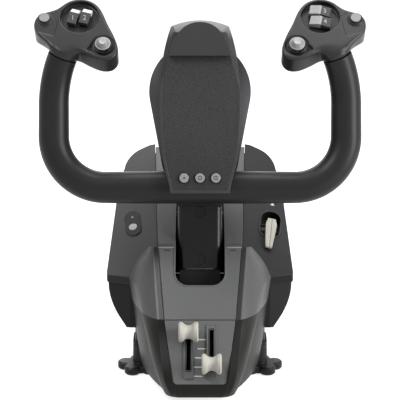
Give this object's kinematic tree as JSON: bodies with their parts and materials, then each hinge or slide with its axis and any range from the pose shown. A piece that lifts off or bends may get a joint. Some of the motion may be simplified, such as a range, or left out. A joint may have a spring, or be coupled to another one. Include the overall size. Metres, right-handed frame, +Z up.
{
  "type": "control yoke",
  "caption": "Desk-edge flight control yoke: horned wheel on a pendulum column over a clamped housing, with throttle sliders, gear lever and thumb buttons.",
  "frame": {"origin": "centre of the rubber desk pad's underside, on the desk top", "axes": "+X to the pilot's right, +Y away from the pilot, +Z up"},
  "size_m": [0.3486, 0.2896, 0.422],
  "materials": {
    "wheel_black": "satin moulded black",
    "hub_charcoal": "fine grained",
    "cover_charcoal": "satin moulded charcoal",
    "housing_black": "matte moulded black",
    "face_grey": "fine grained grey",
    "column_black": "semi-gloss black",
    "control_cream": "satin warm light grey",
    "button_grey": "satin light grey",
    "key_grey": "satin mid grey",
    "steel": "brushed",
    "rubber": "matte rubber",
    "board_green": "solder mask"
  },
  "bodies": {
    "base": {"base_plate": "steel", "desk_pad": "rubber", "lower_housing": "housing_black", "left_side_cover": "cover_charcoal", "right_side_cover": "cover_charcoal", "spine_cover": "face_grey", "slot_liner": "housing_black", "rear_panel": "housing_black", "usb_socket": "housing_black", "left_hood": "cover_charcoal", "right_hood": "cover_charcoal", "nose_cowl": "cover_charcoal", "faceplate": "face_grey", "throttle_panel": "face_grey", "throttle_tracks": "housing_black", "gear_well": "housing_black", "steel_frame": "steel", "pitch_axle": "steel", "control_board": "board_green", "housing_screws": "steel"},
    "jaw": {"clamp_jaw": "housing_black", "jaw_pad": "rubber"},
    "left_screw": {"left_clamp_screw": "housing_black"},
    "right_screw": {"right_clamp_screw": "housing_black"},
    "left_throttle": {"left_throttle_knob": "control_cream", "left_throttle_slider": "housing_black"},
    "right_throttle": {"right_throttle_knob": "control_cream", "right_throttle_slider": "housing_black"},
    "gear": {"gear_lever": "control_cream"},
    "power": {"power_button": "housing_black"},
    "column": {"column_front_cover": "column_black", "column_rear_cover": "column_black", "column_arm": "steel", "column_skirt": "housing_black", "column_plugs": "column_black", "pitch_bearings": "steel", "roll_bearings": "steel"},
    "wheel": {"wheel_bar": "wheel_black", "hub_shell": "hub_charcoal", "hub_panel": "hub_charcoal", "roll_shaft": "steel", "left_horn": "wheel_black", "right_horn": "wheel_black", "clip_pin": "steel"},
    "clip": {"chart_clip": "hub_charcoal"},
    "hub_left": {"left_hub_button": "button_grey"},
    "hub_middle": {"middle_hub_button": "button_grey"},
    "hub_right": {"right_hub_button": "button_grey"},
    "key_1": {"left_key_1": "key_grey"},
    "key_2": {"left_key_2": "key_grey"},
    "key_3": {"right_key_3": "key_grey"},
    "key_4": {"right_key_4": "key_grey"},
    "left_ear": {"left_ear_button": "wheel_black"},
    "right_ear": {"right_ear_button": "wheel_black"},
    "left_gimbal": {"left_hat_gimbal": "wheel_black"},
    "right_gimbal": {"right_hat_gimbal": "wheel_black"},
    "left_hat_cap": {"left_hat": "button_grey"},
    "right_hat_cap": {"right_hat": "button_grey"},
    "left_trigger": {"left_paddle": "wheel_black"},
    "right_trigger": {"right_paddle": "wheel_black"}
  },
  "joints": [
    {"name": "pitch", "type": "hinge", "parent": "base", "child": "column", "pos_m": [0, -0.12, -0.01], "axis": [1, 0, 0], "range_deg": [-14, 15], "stiffness_Nm_per_rad": 60},
    {"name": "roll", "type": "hinge", "parent": "column", "child": "wheel", "pos_m": [0, -0.12843, 0.26764], "axis": [0, 0.9659, -0.2588], "range_deg": [-75, 75], "stiffness_Nm_per_rad": 0.9},
    {"name": "left_throttle_slide", "type": "slide", "parent": "base", "child": "left_throttle", "axis": [0, 0.5128, 0.8585], "range_m": [-0.034, 0]},
    {"name": "right_throttle_slide", "type": "slide", "parent": "base", "child": "right_throttle", "axis": [0, 0.5128, 0.8585], "range_m": [0, 0.034]},
    {"name": "gear_lever_pivot", "type": "hinge", "parent": "base", "child": "gear", "pos_m": [0.07915, -0.02526, 0.09942], "axis": [0.9817, 0, -0.1904], "range_deg": [-35, 0]},
    {"name": "power_press", "type": "slide", "parent": "base", "child": "power", "axis": [0.1591, 0.5495, -0.8202], "range_m": [0, 0.001], "stiffness_N_per_m": 400},
    {"name": "jaw_slide", "type": "slide", "parent": "base", "child": "jaw", "axis": [0, 0, -1], "range_m": [0, 0.045]},
    {"name": "left_screw_turn", "type": "hinge", "parent": "jaw", "child": "left_screw", "pos_m": [-0.068, -0.078, -0.04], "axis": [0, 0, 1], "range_deg": [0, 8104]},
    {"name": "right_screw_turn", "type": "hinge", "parent": "jaw", "child": "right_screw", "pos_m": [0.068, -0.078, -0.04], "axis": [0, 0, 1], "range_deg": [0, 8104]},
    {"name": "clip_hinge", "type": "hinge", "parent": "wheel", "child": "clip", "pos_m": [0, -0.13794, 0.33645], "axis": [1, 0, 0], "range_deg": [-7, 0], "stiffness_Nm_per_rad": 0.2},
    {"name": "hub_left_press", "type": "slide", "parent": "wheel", "child": "hub_left", "axis": [0, 0.9659, -0.2588], "range_m": [0, 0.001], "stiffness_N_per_m": 400},
    {"name": "hub_middle_press", "type": "slide", "parent": "wheel", "child": "hub_middle", "axis": [0, 0.9659, -0.2588], "range_m": [0, 0.001], "stiffness_N_per_m": 400},
    {"name": "hub_right_press", "type": "slide", "parent": "wheel", "child": "hub_right", "axis": [0, 0.9659, -0.2588], "range_m": [0, 0.001], "stiffness_N_per_m": 400},
    {"name": "key_1_press", "type": "slide", "parent": "wheel", "child": "key_1", "axis": [0, 0.7071, -0.7071], "range_m": [0, 0.0015], "stiffness_N_per_m": 400},
    {"name": "key_2_press", "type": "slide", "parent": "wheel", "child": "key_2", "axis": [0, 0.7071, -0.7071], "range_m": [0, 0.0015], "stiffness_N_per_m": 400},
    {"name": "key_3_press", "type": "slide", "parent": "wheel", "child": "key_3", "axis": [0, 0.7071, -0.7071], "range_m": [0, 0.0015], "stiffness_N_per_m": 400},
    {"name": "key_4_press", "type": "slide", "parent": "wheel", "child": "key_4", "axis": [0, 0.7071, -0.7071], "range_m": [0, 0.0015], "stiffness_N_per_m": 400},
    {"name": "left_ear_press", "type": "slide", "parent": "wheel", "child": "left_ear", "axis": [0, 0.7071, -0.7071], "range_m": [0, 0.0012], "stiffness_N_per_m": 400},
    {"name": "right_ear_press", "type": "slide", "parent": "wheel", "child": "right_ear", "axis": [0, 0.7071, -0.7071], "range_m": [0, 0.0012], "stiffness_N_per_m": 400},
    {"name": "left_hat_tilt", "type": "hinge", "parent": "wheel", "child": "left_gimbal", "pos_m": [-0.101, -0.12899, 0.321], "axis": [1, 0, 0], "range_deg": [-10, 10], "stiffness_Nm_per_rad": 0.05},
    {"name": "left_hat_lean", "type": "hinge", "parent": "left_gimbal", "child": "left_hat_cap", "pos_m": [-0.101, -0.12899, 0.321], "axis": [0, 0.7071, 0.7071], "range_deg": [-10, 10], "stiffness_Nm_per_rad": 0.05},
    {"name": "left_paddle_pull", "type": "hinge", "parent": "wheel", "child": "left_trigger", "pos_m": [-0.1395, -0.0831, 0.33804], "axis": [1, 0, 0], "range_deg": [-6, 0], "stiffness_Nm_per_rad": 0.2},
    {"name": "right_hat_tilt", "type": "hinge", "parent": "wheel", "child": "right_gimbal", "pos_m": [0.101, -0.12899, 0.321], "axis": [1, 0, 0], "range_deg": [-10, 10], "stiffness_Nm_per_rad": 0.05},
    {"name": "right_hat_lean", "type": "hinge", "parent": "right_gimbal", "child": "right_hat_cap", "pos_m": [0.101, -0.12899, 0.321], "axis": [0, 0.7071, 0.7071], "range_deg": [-10, 10], "stiffness_Nm_per_rad": 0.05},
    {"name": "right_paddle_pull", "type": "hinge", "parent": "wheel", "child": "right_trigger", "pos_m": [0.1395, -0.0831, 0.33804], "axis": [1, 0, 0], "range_deg": [-6, 0], "stiffness_Nm_per_rad": 0.2}
  ],
  "couplings": [
    {"joint": "left_screw_turn", "follows": "jaw_slide", "rad_per_m": 3141.6},
    {"joint": "right_screw_turn", "follows": "jaw_slide", "rad_per_m": 3141.6}
  ]
}
